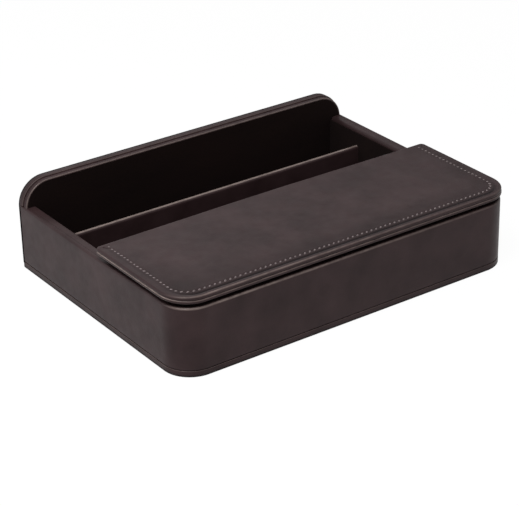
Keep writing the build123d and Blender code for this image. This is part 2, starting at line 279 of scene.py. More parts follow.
def make_calf(name, deep, pale, worn_and_lit, roughness, gloss, grain_depth_mm):
    """Smooth waxed calf: two dye shades, a paler edge colour that is also a painted highlight, painted shade,
    fine grain.
    """
    material, tree, place = start_material(name)
    dye = add(tree, "ShaderNodeTexNoise", {"Vector": place, "Scale": per_metre(DYE_MM), "Detail": 4.0})
    patchy = add(tree, "ShaderNodeTexNoise", {"Vector": place, "Scale": per_metre(CREASE_MM), "Detail": 4.0})
    cells = add(tree, "ShaderNodeTexVoronoi", {"Vector": place, "Scale": per_metre(GRAIN_MM)},
                feature="SMOOTH_F1")
    wear_and_shading = add(tree, "ShaderNodeAttribute", attribute_name="wear_and_shading").outputs["Fac"]
    # Above 0 the vertex value mixes in the paler edge colour, partly stretched grain and partly a painted
    # highlight; below 0 it mixes in the dark colour: painted shade in grooves, seams and shaded edges, and
    # the lid's darker border.
    rubbed_and_lit = add(tree, "ShaderNodeMath", {0: wear_and_shading, 1: patchy.outputs["Fac"]}, operation="MULTIPLY")
    darkened = add(tree, "ShaderNodeMath", {0: wear_and_shading, 1: -1.0}, operation="MULTIPLY")
    colour = add(tree, "ShaderNodeMix", {0: dye.outputs["Fac"], 6: linear(deep), 7: linear(pale)},
                 data_type="RGBA")
    for share, shade in ((rubbed_and_lit, worn_and_lit), (darkened, DARKENED_COLOUR)):
        colour = add(tree, "ShaderNodeMix", {0: share.outputs[0], 6: colour.outputs[2], 7: linear(shade)},
                     data_type="RGBA")
    sheen = add(tree, "ShaderNodeMapRange", {
        "Value": patchy.outputs["Fac"], "To Min": roughness - THICK_WAX, "To Max": roughness + DULL_WAX})
    polish = add(tree, "ShaderNodeMath", {0: wear_and_shading, 1: WORN_POLISH, 2: sheen.outputs["Result"]},
                 operation="MULTIPLY_ADD")
    height = add(tree, "ShaderNodeMath", {
        0: patchy.outputs["Fac"], 1: CREASE_HIGH, 2: cells.outputs["Distance"]}, operation="MULTIPLY_ADD")
    bump = add(tree, "ShaderNodeBump", {
        "Height": height.outputs[0], "Distance": grain_depth_mm / MILLIMETRES, "Strength": 0.6})
    return finish_material(material, add(tree, "ShaderNodeBsdfPrincipled", {
        "Base Color": colour.outputs[2], "Roughness": polish.outputs[0],
        "Specular IOR Level": gloss, "IOR": 1.5, "Normal": bump.outputs["Normal"]}))


# The third colour is the paler edge: partly stretched grain, partly a painted highlight.
cover_calf = make_calf("waxed_calf_dark_brown", "#1b1011", "#403031", "#81736e", 0.42, 0.13, 0.05)
neck_calf = make_calf("skived_calf_near_black", "#120b0a", "#1c1311", "#2c211c", 0.50, 0.12, 0.04)
print("leathers:", cover_calf.name, neck_calf.name)

# %% [markdown]
# The inside is lined with microfibre suede glued to card. Suede has no gloss: its raised nap
# swallows light, and it only changes tone where a hand has brushed it the other way, in blurred
# strokes longer than they are wide. The felt underneath is coarser and a shade lighter, with its
# fibres lying in every direction.

# %% Suede and felt
def make_nap(name, dark, brushed, stroke_mm, fibre_mm, fibre_depth_mm):
    """A napped cloth: soft brush strokes in the tone and a fibre bump."""
    material, tree, place = start_material(name)
    drawn = add(tree, "ShaderNodeMapping", {"Vector": place, "Scale": (0.35, 1.0, 1.0)})
    strokes = add(tree, "ShaderNodeTexNoise", {
        "Vector": drawn.outputs["Vector"], "Scale": per_metre(stroke_mm), "Detail": 2.0})
    fibres = add(tree, "ShaderNodeTexNoise", {"Vector": place, "Scale": per_metre(fibre_mm), "Detail": 3.0})
    tone = add(tree, "ShaderNodeMath", {0: strokes.outputs["Fac"], 1: fibres.outputs["Fac"]},
               operation="MULTIPLY")
    colour = add(tree, "ShaderNodeMix", {0: tone.outputs[0], 6: linear(dark), 7: linear(brushed)},
                 data_type="RGBA")
    bump = add(tree, "ShaderNodeBump", {
        "Height": fibres.outputs["Fac"], "Distance": fibre_depth_mm / MILLIMETRES, "Strength": 0.8})
    return finish_material(material, add(tree, "ShaderNodeBsdfPrincipled", {
        "Base Color": colour.outputs[2], "Roughness": 0.95, "Specular IOR Level": 0.06,
        "Sheen Weight": 0.02, "Sheen Roughness": 0.5, "Normal": bump.outputs["Normal"]}))


suede = make_nap("microfibre_suede_dark_brown", "#0b0505", "#221411", 22.0, 0.9, 0.08)
felt = make_nap("pressed_wool_felt_brown", "#1d1714", "#3c322d", 9.0, 1.2, 0.25)
print("cloths:", suede.name, felt.name)

# %% [markdown]
# The thread is waxed polyester, twisted from three strands, a shade lighter than the leather so
# that the row shows. The hinges are steel plated in antique bronze: a dark copper metal with
# brighter copper where fingers rub it. The brads are bright drawn wire, and the boards are
# fibreboard, whose cut face is a fine mottle of pressed wood fibre. The foam in the lid is
# polyurethane with open cells. Each of these is one pattern between two shades, so one recipe
# makes them all, and in a metal the same pattern also dulls the polish.

# %% Thread, metals, fibreboard and foam
STRAND_MM = 0.35
BANDS = 6.0


def make_mottled(name, pattern, output, scale, shades, finish, polish=None, **settings):
    """A material whose tone, and whose polish if it is given, follow one pattern."""
    material, tree, place = start_material(name)
    tone = add(tree, pattern, {"Vector": place, **scale}, **settings).outputs[output]
    colour = add(tree, "ShaderNodeMix", {0: tone, 6: linear(shades[0]), 7: linear(shades[1])},
                 data_type="RGBA")
    if polish:
        dulled = add(tree, "ShaderNodeMapRange", {"Value": tone, "To Min": polish[0], "To Max": polish[1]})
        finish = {**finish, "Roughness": dulled.outputs["Result"]}
    return finish_material(material, add(tree, "ShaderNodeBsdfPrincipled", {
        "Base Color": colour.outputs[2], **finish}))


thread = make_mottled(
    "waxed_polyester_thread", "ShaderNodeTexWave", "Fac",
    {"Scale": per_metre(STRAND_MM) / BANDS, "Distortion": 1.5}, ("#4a3e3b", "#85797a"),
    {"Roughness": 0.45, "Specular IOR Level": 0.4}, bands_direction="DIAGONAL")
bronze_plate = make_mottled(
    "antique_bronze_plated_steel", "ShaderNodeTexNoise", "Fac", {"Scale": per_metre(3.0), "Detail": 4.0},
    ("#1c1511", "#4c382a"), {"Metallic": 1.0}, polish=(0.60, 0.40))
drawn_wire = make_mottled(
    "bright_drawn_wire", "ShaderNodeTexNoise", "Fac", {"Scale": per_metre(2.0), "Detail": 4.0},
    ("#8d8d8d", "#c9c9c6"), {"Metallic": 1.0}, polish=(0.37, 0.17))
fibreboard = make_mottled(
    "medium_density_fibreboard", "ShaderNodeTexNoise", "Fac", {"Scale": per_metre(1.5), "Detail": 6.0},
    ("#8a6a48", "#b4936c"), {"Roughness": 0.9, "Specular IOR Level": 0.2})
foam = make_mottled(
    "open_cell_polyurethane_foam", "ShaderNodeTexVoronoi", "Distance", {"Scale": per_metre(0.8)},
    ("#b9b39f", "#e4dfcf"), {"Roughness": 1.0})
print("others:", [m.name for m in (thread, bronze_plate, drawn_wire, fibreboard, foam)])

# %% [markdown]
# Nearly every skin on this box is a cross-section carried along an outline: the walls' leather
# along the plan, the back's leather along its round-shouldered face. So one function walks a
# polygon with rounded corners and returns stations. A station knows its point, which way is
# outwards, and how to step inwards by any distance, also past the centre of its corner, where a
# plain offset would turn inside out. The same walk rounds the corners of a cross-section.

# %% Stations along a rounded outline
Station = namedtuple("Station", "point normal bend step")
PLAN_TURN = math.radians(6)
CLEAR_OF_ENDS = 0.2


def on_leg(start, along, normal, place, slack_behind, slack_ahead, length):
    """A station on a straight leg; as it steps in, it keeps clear of both neighbouring legs."""
    def step(inset):
        low = inset * slack_behind
        high = max(low, length - inset * slack_ahead)
        return start + along * min(max(place, low), high) - inset * normal

    return Station(start + along * place, normal, 0.0, step)


def on_corner(corner, mitre, centre, normal, radius, bend):
    """A station on a corner's arc; it ends on the mitre once its radius is used up."""
    def step(inset):
        if inset <= radius:
            return centre + normal * (radius - inset)
        return corner - inset * mitre

    return Station(step(0.0), normal, bend, step)


def walk(corners, radii, spacing, closed=True, arc_step=PLAN_TURN):
    """Stations round a polygon of convex corners, anticlockwise, with a radius at each corner."""
    points = [Vector(c) for c in corners]
    middle = Vector([(min(values) + max(values)) / 2 for values in zip(*corners)])
    count = len(points)
    legs = count if closed else count - 1
    alongs = [(points[(i + 1) % count] - points[i]).normalized() for i in range(legs)]
    normals = [Vector((a.y, -a.x)) for a in alongs]
    slacks = [0.0] * count
    for i in range(count):
        if closed or 0 < i < count - 1:
            slacks[i] = math.tan(alongs[i - 1].angle(alongs[i % legs]) / 2)
    stations = []
    for i in range(legs):
        j = (i + 1) % count
        length = (points[j] - points[i]).length
        first = radii[i] * slacks[i]
        last = length - radii[j] * slacks[j]
        places = []
        if spacing and length > 2 * spacing:
            offset = (points[i] - middle).dot(alongs[i])
            clear = CLEAR_OF_ENDS * spacing
            lowest = math.ceil((offset + first) / spacing)
            highest = math.floor((offset + last) / spacing)
            places = [k * spacing - offset for k in range(lowest, highest + 1)]
            places = [p for p in places if first + clear < p < last - clear]
        starts = [first] if radii[i] > 0 or slacks[i] == 0 else []
        stops = [last] if (radii[j] > 0 or slacks[j] == 0) and last - first > 1e-6 else []
        for place in starts + places + stops:
            stations.append(on_leg(points[i], alongs[i], normals[i], place, slacks[i], slacks[j], length))
        if slacks[j] > 0:
            after = normals[j % legs]
            mitre = (normals[i] + after) / (1 + normals[i].dot(after))
            centre = points[j] - mitre * radii[j]
            turn = normals[i].angle(after)
            steps = max(3, math.ceil(turn / arc_step)) if radii[j] > 0 else 2
            for k in range(1, steps):
                facing = Matrix.Rotation(turn * k / steps, 2) @ normals[i]
                bend = math.sin(math.pi * k / steps) if radii[j] > 0 else 0.0
                stations.append(on_corner(points[j], mitre, centre, facing, radii[j], bend))
    return stations


print("stations round a square:", len(walk([(-10, -10), (10, -10), (10, 10), (-10, 10)], [4, 4, 4, 0], 5.0)))

# %% [markdown]
# A skin is then a grid: one row of points for each point of the cross-section, one column for
# each station. The grid is closed both ways for a band that runs all round, capped at its two ends
# for a strip that stops, or drawn in to a line in the middle for a plate such as the lid. Merging
# doubles closes the seams, and recalculating the normals makes every face point outwards.

# %% Build skins from rows of points
MERGE_MM = 0.002
SHARP = math.radians(38)
WAVE_MM = 24.0
PLATE_STEP = 8.0
SECTION_TURN = math.radians(15)


def ease(value):
    """A smooth step from 0 to 1."""
    value = min(max(value, 0.0), 1.0)
    return value * value * (3 - 2 * value)


def in_plan(u, v, w):
    """The outline lies in plan and the cross-section's height is Z."""
    return Vector((u, v, w))


def upright_face(u, v, w):
    """The outline stands upright, seen from the rear; the cross-section's height is Y."""
    return Vector((u, w, v))


def side_face(u, v, w):
    """The outline stands upright, seen from the side; the cross-section's height is X."""
    return Vector((w, u, v))


def plain_object(name, mesh, material):
    """Writes the edit mesh to a new object at the origin, smooth with sharp creases kept."""
    data = bpy.data.meshes.new(name)
    mesh.to_mesh(data)
    mesh.free()
    data.polygons.foreach_set("use_smooth", [True] * len(data.polygons))
    data.set_sharp_from_angle(angle=SHARP)
    data.materials.append(material)
    return put(name, data)


def skin(name, rows, wear_and_shading_rows, material, around, along):
    """A smooth closed mesh from rows of points, with the value for paler edges, painted highlights and
    painted shade stored on its vertices.
    """
    mesh = bmesh.new()
    layer = mesh.verts.layers.float.new("wear_and_shading")
    grid = [[mesh.verts.new(point / MILLIMETRES) for point in row] for row in rows]
    for made, wear_and_shading_row in zip(grid, wear_and_shading_rows):
        for vertex, wear_and_shading in zip(made, wear_and_shading_row):
            vertex[layer] = wear_and_shading
    height, width = len(grid), len(grid[0])
    for j in range(height if along else height - 1):
        for i in range(width if around else width - 1):
            k, m = (i + 1) % width, (j + 1) % height
            mesh.faces.new((grid[j][i], grid[j][k], grid[m][k], grid[m][i]))
    if not around:
        mesh.faces.new([row[0] for row in grid])
        mesh.faces.new([row[-1] for row in grid])
    bmesh.ops.remove_doubles(mesh, verts=mesh.verts, dist=MERGE_MM / MILLIMETRES)
    bmesh.ops.dissolve_degenerate(mesh, edges=mesh.edges, dist=MERGE_MM / MILLIMETRES)
    bmesh.ops.recalc_face_normals(mesh, faces=mesh.faces)
    return plain_object(name, mesh, material)


def band(name, stations, section, place, material, closed=False, wobble=0.0):
    """Carries a closed cross-section, a function of the station, along an outline."""
    def laid(station, inset, height):
        """A point of hand-laid leather, which lies up to the wobble under its true face."""
        if wobble:
            spot = place(*station.step(inset), height)
            inset += wobble * (0.5 + 0.5 * noise.noise(spot / WAVE_MM))
        return place(*station.step(inset), height)

    columns = [[(laid(station, inset, height), wear_and_shading) for inset, height, wear_and_shading in section(station)]
               for station in stations]
    rows = [[point for point, _ in row] for row in zip(*columns)]
    wear_and_shading_rows = [[wear_and_shading for _, wear_and_shading in row] for row in zip(*columns)]
    return skin(name, rows, wear_and_shading_rows, material, around=closed, along=True)


def plate(name, stations, section, place, material, core, spacing=PLATE_STEP, height_at=None, fade=20.0):
    """Carries an open cross-section round an outline and draws both its ends in to a middle line."""
    core_half, core_u, core_v = core
    columns = [[(*station.step(inset), height, wear_and_shading) for inset, height, wear_and_shading in section(station)]
               for station in stations]
    rows = [[point[:3] for point in row] for row in zip(*columns)]
    wear_and_shading_rows = [[point[3] for point in row] for row in zip(*columns)]
    steps = max(2, round(max(abs(v - core_v) for _, v, _ in rows[-1]) / spacing))

    def drawn_in(row, lifted):
        """Rows between a row and the middle line, the last one on it."""
        rings = []
        for k in range(1, steps + 1):
            share, ring = k / steps, []
            for u, v, w in row:
                middle = min(max(u, core_u - core_half), core_u + core_half)
                u2, v2 = u + share * (middle - u), v + share * (core_v - v)
                ring.append((u2, v2, height_at(share) if lifted and height_at else w))
            rings.append(ring)
        return rings

    faded = [[wear_and_shading * (1.0 - ease(fade * (k + 1) / steps)) for wear_and_shading in wear_and_shading_rows[-1]] for k in range(steps)]
    rows = drawn_in(rows[0], False)[::-1] + rows + drawn_in(rows[-1], True)
    placed = [[place(*spot) for spot in row] for row in rows]
    wear_and_shading_rows = [[0.0] * len(stations)] * steps + wear_and_shading_rows + faded
    return skin(name, placed, wear_and_shading_rows, material, around=True, along=False)


def cross_section(corners, radii, spacing=None, arc_step=SECTION_TURN):
    """A closed cross-section with rounded corners, as (inset, height, wear) points."""
    return [(s.point.x, s.point.y, s.bend) for s in walk(corners, radii, spacing, True, arc_step)]


def finish_piece(piece, body, slot_name, *nodes):
    """Says what carries a piece and which nodes it stands for, and prints its size; the slot name is not
    used.
    """
    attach(piece, body)
    if nodes:
        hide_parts(*nodes)
    piece.data.calc_loop_triangles()
    uses = Counter(key for face in piece.data.polygons for key in face.edge_keys)
    open_edges = sum(1 for used in uses.values() if used != 2)
    dims = " x ".join(f"{MILLIMETRES * d:.1f}" for d in piece.dimensions)
    print(f"{piece.name}: {len(piece.data.loop_triangles)} triangles, {open_edges} open edges, {dims} mm")


print("skins are built from rows; doubles closer than", MERGE_MM, "mm are merged")

# %% [markdown]
# One strip of leather goes round the left, front and right faces. It is glued to the boards, its
# bottom edge meets the base leather in a fine line, and its top is pulled over the rim and pasted
# down a few millimetres in, where its cut edge shows as a seam. The strip is a band on an open
# outline. Beside the back, the rim's rounding runs out, because the back's leather stands on it
# there. The rolled rim of the front carries a painted highlight in the paler edge colour, strongest
# at its left corner and fading to the right, and the fine line at the bottom is painted darker, as
# painted shade.
# Hand-laid leather is never quite flat, so the band is let in by up to a twentieth of a
# millimetre, in soft patches, which is enough to break up a long reflection.

# %% Leather round the walls
CORNER_RADIUS = 22.0
RIM_ROUND = 1.6
CUT_EDGE_ROUND = 0.25
SEAM_ROUND = 0.4
SEAM_LIP = 0.8
SEAM_OPEN = 0.6
SEAM_DEEP = 0.7
RIM_STRIP_RISE = 1.0
RISE_RUN = 60.0
# Strength of the rim's painted highlight at the left and right ends, and how fast it fades round the corners.
RIM_HIGHLIGHT = (1.5, 0.4)
RIM_HIGHLIGHT_TURN = 1.5
WALL_STEP = 6.0
PLAN_STEP = 4.0
WALL_WOBBLE = 0.05
fold = half_width - cap.x1
board_top = rim_top - leather
lip_top = base.z1 + SEAM_LIP


def brighter_to_the_left(x, left_and_right):
    """The strength of a painted highlight, falling from the left end of the box to its right end."""
    left, right = left_and_right
    return left + (right - left) * (x + half_width) / (2 * half_width)


def wall_section(station):
    """Bottom edge, outer face, rolled rim and the fold on top."""
    rim_round = RIM_ROUND if station.point.y < back.y0 - 1 else CUT_EDGE_ROUND
    top = rim_top + RIM_STRIP_RISE * ease(-station.point.y / RISE_RUN)
    # The rim's painted highlight, on the front only, strongest at the left.
    rubbed_and_lit = brighter_to_the_left(station.point.x, RIM_HIGHLIGHT) * ease(-RIM_HIGHLIGHT_TURN * station.normal.y)
    points = cross_section(
        [(SEAM_DEEP, lip_top), (leather, lip_top), (leather, board_top), (fold, board_top), (fold, top),
         (0, top), (0, lip_top + SEAM_OPEN), (SEAM_DEEP, lip_top + SEAM_OPEN)],
        [0, 0, 0, 0, CUT_EDGE_ROUND, rim_round, SEAM_ROUND, 0], WALL_STEP)
    # Below the rim the bends are painted darker: painted shade in the seam at the bottom.
    return [(inset, height, rubbed_and_lit * wear_and_shading if height > board_top - RIM_ROUND else -wear_and_shading)
            for inset, height, wear_and_shading in points]


def open_plan(x, y_end, y_front, radius, spacing=PLAN_STEP):
    """The outline of the left, front and right faces, open at the rear."""
    return walk([(-x, y_end), (-x, y_front), (x, y_front), (x, y_end)], [0, radius, radius, 0], spacing,
                closed=False)


wall_outline = open_plan(half_width, wrap.y1, front_y, CORNER_RADIUS)
wall_leather = band("wall_leather", wall_outline, wall_section, in_plan, cover_calf, wobble=WALL_WOBBLE)
finish_piece(wall_leather, "box", "cover_leather", "wall_wrap")

# %% [markdown]
# The base is a separate board with its own leather, folded round its edge and turned under. Where
# it meets the walls' leather both edges are slightly rounded, and that draws the fine line a few
# millimetres above the table. The base's rounded lip there is painted paler, as a painted
# highlight, and the roll that touches the table is painted darker, as painted shadow.

# %% Leather on the base
REAR_CORNER_RADIUS = 1.5
BASE_EDGE_ROUND = 0.8
BASE_STEP = 0.8
# Painted highlight on the lip, and painted shadow on the roll that stands on the table.
LIP_HIGHLIGHT = 0.5
FOOT_SHADOW = -0.9
FOOT_DARK = 2.0
FOOT_FULL = 1.3
under = extent("base_felt")


def base_section(station):
    """The turned-under strip, the rolled bottom edge and the edge of the base board."""
    turn = half_width - under.x1
    points = cross_section(
        [(0, 0), (turn, 0), (turn, under.z1), (leather, under.z1), (leather, lip_top), (0, lip_top)],
        [BASE_EDGE_ROUND, 0.2, 0, 0, 0, SEAM_ROUND], BASE_STEP)
    # A painted highlight on the lip above the board, and painted shadow on the roll, deepest near the table.
    return [(inset, height,
             LIP_HIGHLIGHT * wear_and_shading if height > base.z1 else FOOT_SHADOW * ease(FOOT_FULL - height / FOOT_DARK))
            for inset, height, wear_and_shading in points]


def closed_plan(x, y0, y1, front_radius, rear_radius, spacing=PLAN_STEP):
    """A rectangle in plan with its front and rear corners rounded differently."""
    return walk([(-x, y1), (-x, y0), (x, y0), (x, y1)],
                [rear_radius, front_radius, front_radius, rear_radius], spacing)


base_outline = closed_plan(half_width, front_y, rear_y, CORNER_RADIUS, REAR_CORNER_RADIUS)
base_leather = band("base_leather", base_outline, base_section, in_plan, cover_calf, closed=True)
finish_piece(base_leather, "box", "cover_leather", "base_wrap")

# %% [markdown]
# A felt sheet fills the space inside the turned-under leather. It is the first of many flat cards
# with softly rounded edges, so one helper makes a plate on any rectangle. It lies flat under a
# board and bears the whole box, so there is nothing in it for a cloth simulation to find.

# %% Flat cards, and the felt
FELT_CORNER = 13.0
FELT_ROUND = 0.2
CARD_RIM = 3.0


def quarter_round(inset, height, radius, from_below, wear_and_shading, arc_steps=4):
    """The points of a rounded edge; the value for the paler edge and its painted highlight is strongest in
    the middle of the bend.
    """
    points = []
    for k in range(arc_steps + 1):
        turn = math.pi / 2 * k / arc_steps
        if from_below:
            across, rise = 1 - math.sin(turn), 1 - math.cos(turn)
        else:
            across, rise = 1 - math.cos(turn), math.sin(turn) - 1
        points.append((inset + radius * across, height + radius * rise, wear_and_shading * math.sin(2 * turn)))
    return points


def slab_section(low, high, low_round, high_round, rim=CARD_RIM):
    """An open cross-section for a plate: low face, rounded edges, high face."""
    return [(rim, low, 0.0), *quarter_round(0.0, low, low_round, True, 0.0),
            *quarter_round(0.0, high, high_round, False, 0.0), (rim, high, 0.0)]


def card(name, rectangle, radii, section, place, material, outline_step=PLAN_STEP, spacing=PLATE_STEP):
    """A plate on a rectangle, u0 to u1 by v0 to v1, with its corner radii from u0, v0 round."""
    u0, u1, v0, v1 = rectangle
    outline = walk([(u0, v0), (u1, v0), (u1, v1), (u0, v1)], radii, outline_step)
    core = ((u1 - u0) / 2 - (v1 - v0) / 2, (u0 + u1) / 2, (v0 + v1) / 2)
    return plate(name, outline, lambda station: section, place, material, core, spacing)


felt_sheet = card("felt_sheet", under[:4], [FELT_CORNER, FELT_CORNER, 0.5, 0.5],
                  slab_section(under.z0, under.z1, FELT_ROUND, FELT_ROUND), in_plan, felt)
finish_piece(felt_sheet, "box", "base_felt", "base_felt")

# %% [markdown]
# The top of the wall is covered by a second piece, whose inner edge is rolled and hangs down
# inside as a skirt, over the edge of the lining. Its outline is not a plain offset: outside it
# follows the round corner, and inside it follows a square one, because the boards inside meet at a
# right angle. So the section's inner edge moves with the station, to where a line from the corner's
# centre crosses the square.

# %% Leather on the rim
RIM_INNER_ROUND = 2.4
RIM_DARKENING = -0.25
FLAT_LEFT = 0.3
inner_x = extent("partition_board").x1
wall_thickness = half_width - inner_x


def rim_section(station):
    """Flat top, rolled inner edge and the skirt inside."""
    facing = max(abs(station.normal.x), abs(station.normal.y))
    inner = CORNER_RADIUS - (CORNER_RADIUS - wall_thickness) / facing
    skirt = inner - leather
    inner_round = min(RIM_INNER_ROUND, inner - fold - FLAT_LEFT)
    points = cross_section(
        [(skirt, cap.z0), (inner, cap.z0), (inner, rim_top), (fold, rim_top), (fold, board_top),
         (skirt, board_top)],
        [0, 0.4, inner_round, CUT_EDGE_ROUND, 0, 0])
    # The rim's rounded edges are painted slightly darker.
    return [(inset, height, RIM_DARKENING * wear_and_shading) for inset, height, wear_and_shading in points]


rim_outline = open_plan(half_width, cap.y1, front_y, CORNER_RADIUS)
rim_leather = band("rim_leather", rim_outline, rim_section, in_plan, cover_calf)
finish_piece(rim_leather, "box", "cover_leather", "rim_cap")

# %% [markdown]
# The back is two boards thick. The rear one is wrapped in the same leather, over its edge and in
# behind the front one. The front one is a couple of millimetres smaller, with its edge bound in a
# narrow strip whose front is rolled. From the front that gives two soft light lines with a thin
# dark step between them, and both rolled edges also take the paler edge colour as a painted
# highlight. The rear skin is a plate on an upright outline. Below the rim it covers only the rear
# face, and above it also the edge, so the section changes over one millimetre just under the rim,
# beside the walls. Its rear edge is painted darker, as painted shade that draws a dark outline
# round the back.

# %% Leather on the back panel
SHOULDER_RADIUS = 21.0
BACK_REAR_ROUND = 0.7
BACK_FRONT_ROUND = 0.6
STEP_GAP = 0.02
STEP_RUN = 1.0
BACK_FOOT_ROUND = 0.3
BACK_HIGHLIGHT = 0.5
BACK_SHADE = -0.9
BACK_DARK = 1.3
BACK_TURN_IN = 12.0
BACK_RIM = 13.0
REAR_ARC_STEPS = 6
cover_y = wrap.y1
infill = extent("back_infill_card")


def back_section(station):
    """Inner skin, the turned-in strip, the edge and the rear face."""
    above = station.point.y > rim_top
    front = back.y0 if above else cover_y
    inside = infill.y1 if above else cover_y
    turn = BACK_TURN_IN if above else leather
    rear_edge = quarter_round(0.0, back.y1, BACK_REAR_ROUND, False, 0.0, REAR_ARC_STEPS)
    # A painted highlight on the rolled front edge above the rim, and painted shade on the rear edge.
    return [(BACK_RIM, cover_y, 0), (leather, cover_y, 0), (leather, inside, 0), (turn, inside, 0),
            (turn, front, 0), *quarter_round(0.0, front, BACK_FRONT_ROUND if above else 0.0, True, BACK_HIGHLIGHT),
            (0.0, back.y1 - 2 * BACK_DARK, 0), (0.0, back.y1 - BACK_DARK, BACK_SHADE),
            *((inset, depth, BACK_SHADE) for inset, depth, _ in rear_edge),
            (2 * BACK_DARK, back.y1, 0), (BACK_RIM, back.y1, 0)]


back_heights = (base.z1, rim_top - STEP_RUN, rim_top + STEP_GAP, back.z1)
back_radii = [BACK_FOOT_ROUND, 0, 0, SHOULDER_RADIUS]
back_corners = [(half_width, z) for z in back_heights] + [(-half_width, z) for z in back_heights[::-1]]
back_middle = (base.z1 + back.z1) / 2
back_outline = walk(back_corners, back_radii + back_radii[::-1], PLAN_STEP)
back_leather = plate("back_leather", back_outline, back_section, upright_face, cover_calf,
                     (half_width - back_middle, 0.0, back_middle))
finish_piece(back_leather, "box", "cover_leather", "back_cover")

# %% [markdown]
# The binding round the front board is a band on an open outline, from the rim over both shoulders.
# It stands a little past the board, and its lip holds down the edge of the suede.

# %% The bound edge of the inner board
BINDING_ROUND = 0.9
BINDING_LIP = 1.4
BINDING_PROUD = 1.2
binding = extent("back_edge_binding")
binding_half = binding.x1 + BINDING_PROUD
binding_top = binding.z1 + BINDING_PROUD
binding_radius = SHOULDER_RADIUS - (half_width - binding_half)


def binding_section(station):
    """The bound edge of the inner board, rolled at the front over the suede."""
    front, rear = binding.y0, binding.y1
    # The binding's bends take the paler edge colour: partly stretched grain, partly a painted highlight.
    return cross_section(
        [(0, front), (BINDING_LIP, front), (BINDING_LIP, front + leather), (leather, front + leather),
         (leather, rear), (0, rear)],
        [BINDING_ROUND, 0.1, 0, 0, 0, 0.4])


binding_corners = [(binding_half, binding.z0), (binding_half, binding_top), (-binding_half, binding_top),
                   (-binding_half, binding.z0)]
binding_outline = walk(binding_corners, [0, binding_radius, binding_radius, 0], PLAN_STEP, closed=False)
binding_leather = band("binding_leather", binding_outline, binding_section, upright_face, cover_calf)
finish_piece(binding_leather, "box", "cover_leather", "back_edge_binding")

# %% [markdown]
# The suede is glued to thin card, and each card is a plate with softly rounded edges. The one on
# the back fills the bound frame from the floor to the top; the side ones end just under the rim, so
# the rim's leather makes a neat edge over them; the floor ones lie loose in their compartments.

# %% Suede linings and floors
SUEDE_ROUND = 0.45
GLUED_ROUND = 0.1
SUEDE_TUCK = 0.2
SUEDE_SET_BACK = 0.15
FLOOR_SUEDE_ROUND = SUEDE_ROUND + 0.2
back_lining = extent("back_lining")
suede_half = binding_half - BINDING_LIP + SUEDE_TUCK
suede_radius = binding_radius - BINDING_LIP + SUEDE_TUCK
suede_frame = (-suede_half, suede_half, base.z1, binding_top - BINDING_LIP + SUEDE_TUCK)
suede_slab = slab_section(back_lining.y1, binding.y0 + SUEDE_SET_BACK, -GLUED_ROUND, -SUEDE_ROUND)
back_suede = card("back_suede", suede_frame, [0.5, 0.5, suede_radius, suede_radius], suede_slab, upright_face,
                  suede)
finish_piece(back_suede, "box", "suede", "back_lining")

for side_name, side in (("left", -1), ("right", 1)):
    side_card = extent(side_name + "_lining")
    face = min(abs(side_card.x0), abs(side_card.x1))
    side_slab = slab_section(side * inner_x, side * face, -side * GLUED_ROUND, -side * SUEDE_ROUND)
    finish_piece(card(side_name + "_suede", side_card[2:], [0.3, 0.3, 0.6, 0.6], side_slab, side_face, suede),
                 "box", "suede", side_name + "_lining")

for place_name in ("front", "middle", "rear"):
    floor_card = extent(place_name + "_floor_lining")
    floor_slab = slab_section(floor_card.z0, floor_card.z1, GLUED_ROUND, FLOOR_SUEDE_ROUND)
    finish_piece(card(place_name + "_floor_suede", floor_card[:4], [0.8] * 4, floor_slab, in_plan, suede),
                 "box", "suede", place_name + "_floor_lining")

# %% [markdown]
# The divider is a thin board inside one folded piece of leather, so its top is a full round that
# catches the softbox as a bright line, which a paler painted highlight along the top strengthens.
# It is a short section on a straight outline, as the partition's cap and the neck boards below
# are, so one helper makes such a bar.

# %% The divider
DIVIDER_ROUND = 2.05
DIVIDER_HIGHLIGHT_BAND = 0.55
DIVIDER_HIGHLIGHT = 2.0
DIVIDER_TURN = math.radians(10)
DIVIDER_WOBBLE = 0.06
divider = extent("divider_cover")
divider_core = extent("divider_board")


def bar(name, start, end, section, material, wobble=0.0):
    """One cross-section carried along a straight line in plan."""
    line = walk([start, end], [0, 0], PLAN_STEP, closed=False)
    return band(name, line, lambda station: section, in_plan, material, wobble=wobble)


def divider_section():
    """Two faces of leather and the folded top."""
    thick = divider.y1 - divider.y0
    front, rear = divider_core.y0 - divider.y0, divider_core.y1 - divider.y0
    z0, top, core_top = divider.z0, divider.z1, divider_core.z1
    points = cross_section(
        [(0, z0), (front, z0), (front, core_top), (rear, core_top), (rear, z0), (thick, z0), (thick, top),
         (0, top)], [0, 0, 0, 0, 0, 0, DIVIDER_ROUND, DIVIDER_ROUND], arc_step=DIVIDER_TURN)
    # A painted highlight along the top of the round.
    return [(inset, height, DIVIDER_HIGHLIGHT * ease(1 - (top - height) / DIVIDER_HIGHLIGHT_BAND))
            for inset, height, _ in points]


divider_leather = bar("divider_leather", (divider.x0, divider.y0), (divider.x1, divider.y0),
                      divider_section(), cover_calf, DIVIDER_WOBBLE)
finish_piece(divider_leather, "box", "cover_leather", "divider_cover")

# %% [markdown]
# The partition under the lid's rear edge has suede on both faces and a leather cap, cut away where
# the two hinges are let in. At both ends, above the rim, the cap is turned down over the board, so
# that no bare board shows when the lid is open.

# %% The partition under the lid
CAP_ROUND = 0.6
END_TURN = 0.5
END_DROP = 0.2
END_RIM = 0.8
END_STEP = 2.0
THIN_CARD_ROUND = (0.05, 0.2)
partition_cap = extent("partition_cap")
leaves = [extent("hinge_body_leaf_left"), extent("hinge_body_leaf_right")]

